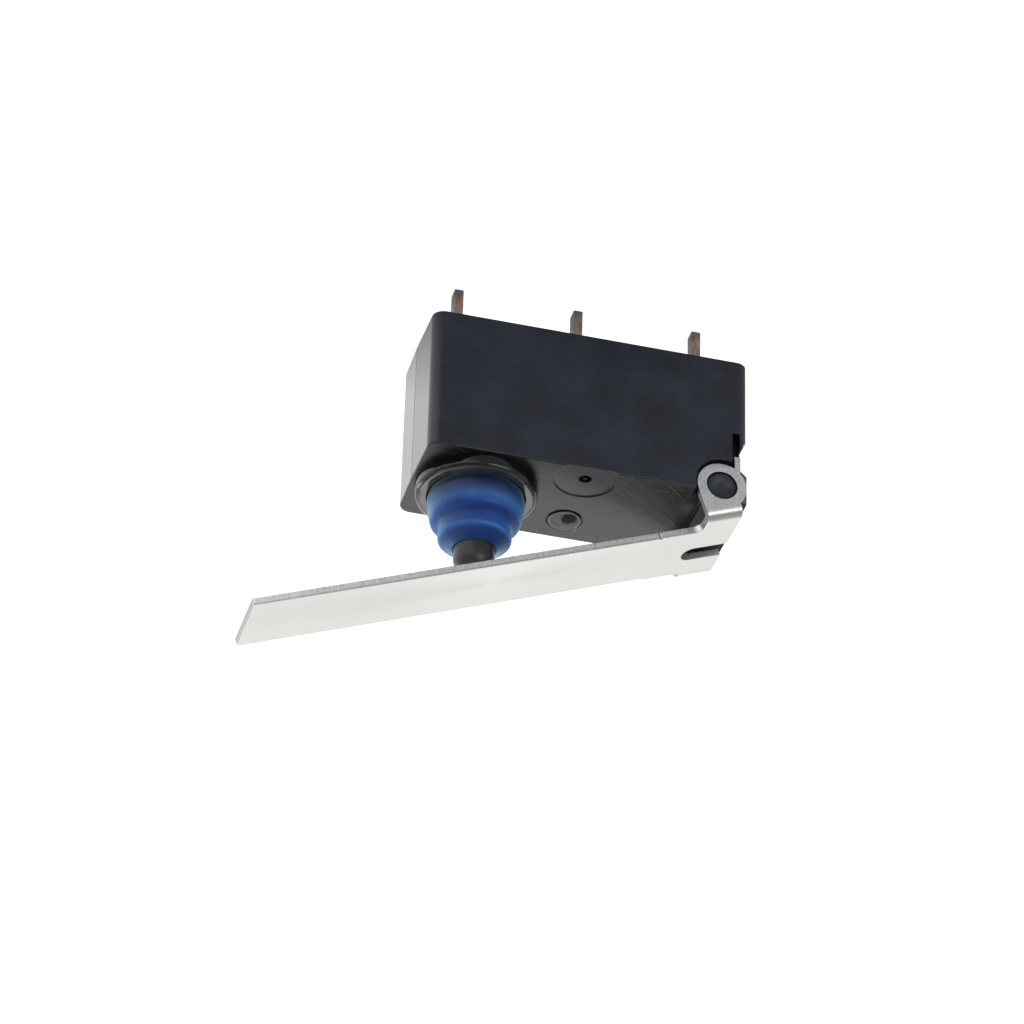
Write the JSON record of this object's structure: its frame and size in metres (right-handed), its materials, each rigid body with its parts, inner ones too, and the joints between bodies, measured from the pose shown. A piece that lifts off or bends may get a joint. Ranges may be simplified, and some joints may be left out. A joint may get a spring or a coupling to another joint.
{
  "type": "micro switch",
  "caption": "Sealed ultra-subminiature micro switch with a rubber bellows over its plunger and a long steel hinge lever.",
  "frame": {"origin": "the common terminal's axis on the case's terminal side, at mid-depth", "axes": "+Z from the terminals to the plunger, +X from the lever's pivot to the plunger, -Y out of the front face"},
  "size_m": [0.0197, 0.0052, 0.0174],
  "materials": {
    "case_black": "satin moulded",
    "collar_black": "glossy",
    "boot_blue": "soft sheen",
    "plunger_dark": "satin",
    "lever_steel": "fine brushed",
    "terminal_metal": "tinned copper alloy with bare cut faces",
    "contact_silver": "satin silver alloy",
    "blade_bronze": "satin",
    "drive_steel": "satin",
    "spring_steel": "drawn wire",
    "resin": "cast, glossy"
  },
  "bodies": {
    "case": {"housing": "case_black", "collar": "collar_black", "boot": "boot_blue", "base": "case_black", "epoxy_seal": "resin", "com_terminal": "terminal_metal", "nc_terminal": "terminal_metal", "no_terminal": "terminal_metal", "nc_fixed_contact": "contact_silver", "no_fixed_contact": "contact_silver"},
    "hinge_lever": {"lever": "lever_steel"},
    "push_pin": {"plunger": "plunger_dark"},
    "drive": {"drive_arm": "drive_steel"},
    "blade": {"contact_arm": "blade_bronze", "nc_moving_contact": "contact_silver", "no_moving_contact": "contact_silver"},
    "spring": {"snap_spring": "spring_steel"}
  },
  "joints": [
    {"name": "lever_pivot", "type": "hinge", "parent": "case", "child": "hinge_lever", "pos_m": [-0.00555, 0, 0.00597], "axis": [0, 1, 0], "range_deg": [0, 7.6], "stiffness_Nm_per_rad": 0.0002, "springref_deg": -28.65},
    {"name": "plunger_slide", "type": "slide", "parent": "case", "child": "push_pin", "axis": [0, 0, -1], "range_m": [0, 0.0014], "deforming": ["boot"]},
    {"name": "drive_arm_pivot", "type": "hinge", "parent": "case", "child": "drive", "pos_m": [-0.0024, 0, 0.00132], "axis": [0, 1, 0], "range_deg": [0, 13.2]},
    {"name": "contact_arm_pivot", "type": "hinge", "parent": "case", "child": "blade", "pos_m": [0.0008, 0, 0.00232], "axis": [0, -1, 0], "range_deg": [0, 4.2]},
    {"name": "snap_spring_pivot", "type": "hinge", "parent": "blade", "child": "spring", "pos_m": [-0.00178, 0, 0.0024], "axis": [0, 1, 0], "range_deg": [0, 16.9], "deforming": ["snap_spring"]}
  ],
  "couplings": [
    {"joint": "plunger_slide", "follows": "lever_pivot", "m_per_rad": 0.010554},
    {"joint": "drive_arm_pivot", "follows": "lever_pivot", "ratio": 1.7368},
    {"joint": "contact_arm_pivot", "follows": "lever_pivot", "ratio": 0.5526},
    {"joint": "snap_spring_pivot", "follows": "lever_pivot", "ratio": 2.2236}
  ]
}
